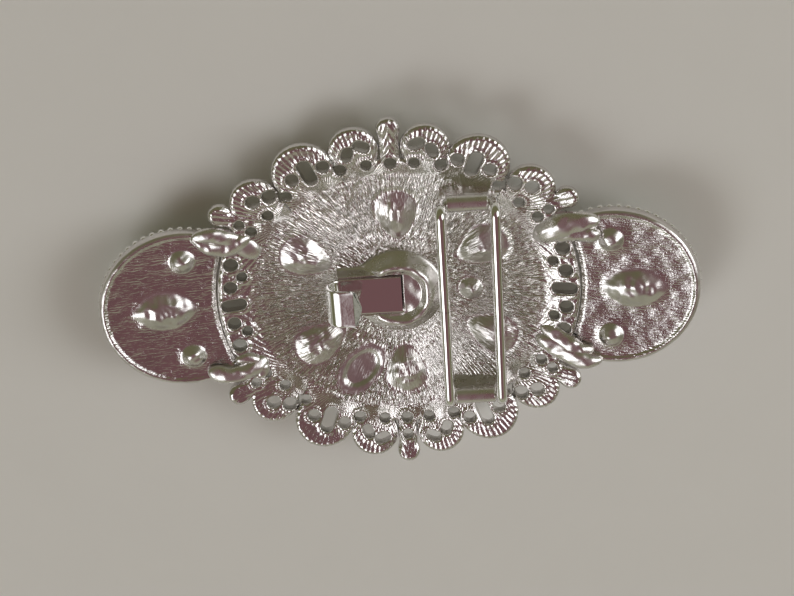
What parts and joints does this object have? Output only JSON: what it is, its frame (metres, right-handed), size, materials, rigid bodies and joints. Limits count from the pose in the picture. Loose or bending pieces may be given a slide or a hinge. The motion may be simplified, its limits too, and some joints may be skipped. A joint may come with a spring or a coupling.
{
  "type": "rhinestone belt buckle",
  "caption": "Dressy cast belt buckle: pierced round medallion between two round wings, stones in front, bent hook and wire belt loop on the back.",
  "frame": {"origin": "on the surface the stones rest on, under the middle of the medallion", "axes": "+X along the belt towards the wire loop's side, +Y up across the belt, +Z out of the back"},
  "size_m": [0.122, 0.078, 0.0179],
  "materials": {
    "cast_plate": "as-cast, silver-plated",
    "soldered_fittings": "smooth, silver-plated",
    "polished_plate": "polished",
    "crystal": "faceted, foil-backed"
  },
  "bodies": {
    "root": {"medallion": "cast_plate", "left_wing": "cast_plate", "right_wing": "cast_plate", "hook_base": "soldered_fittings", "upper_loop_ear": "soldered_fittings", "lower_loop_ear": "soldered_fittings", "upper_left_bridge": "soldered_fittings", "upper_right_bridge": "soldered_fittings", "lower_left_bridge": "soldered_fittings", "lower_right_bridge": "soldered_fittings", "belt_hook": "polished_plate", "belt_loop": "polished_plate", "centre_stone": "crystal", "upper_pear_stone": "crystal", "lower_pear_stone": "crystal", "upper_left_pear_stone": "crystal", "upper_right_pear_stone": "crystal", "lower_left_pear_stone": "crystal", "lower_right_pear_stone": "crystal", "left_small_stone": "crystal", "right_small_stone": "crystal", "left_wing_navette_stone": "crystal", "left_wing_upper_stone": "crystal", "left_wing_lower_stone": "crystal", "right_wing_navette_stone": "crystal", "right_wing_upper_stone": "crystal", "right_wing_lower_stone": "crystal"}
  },
  "joints": []
}
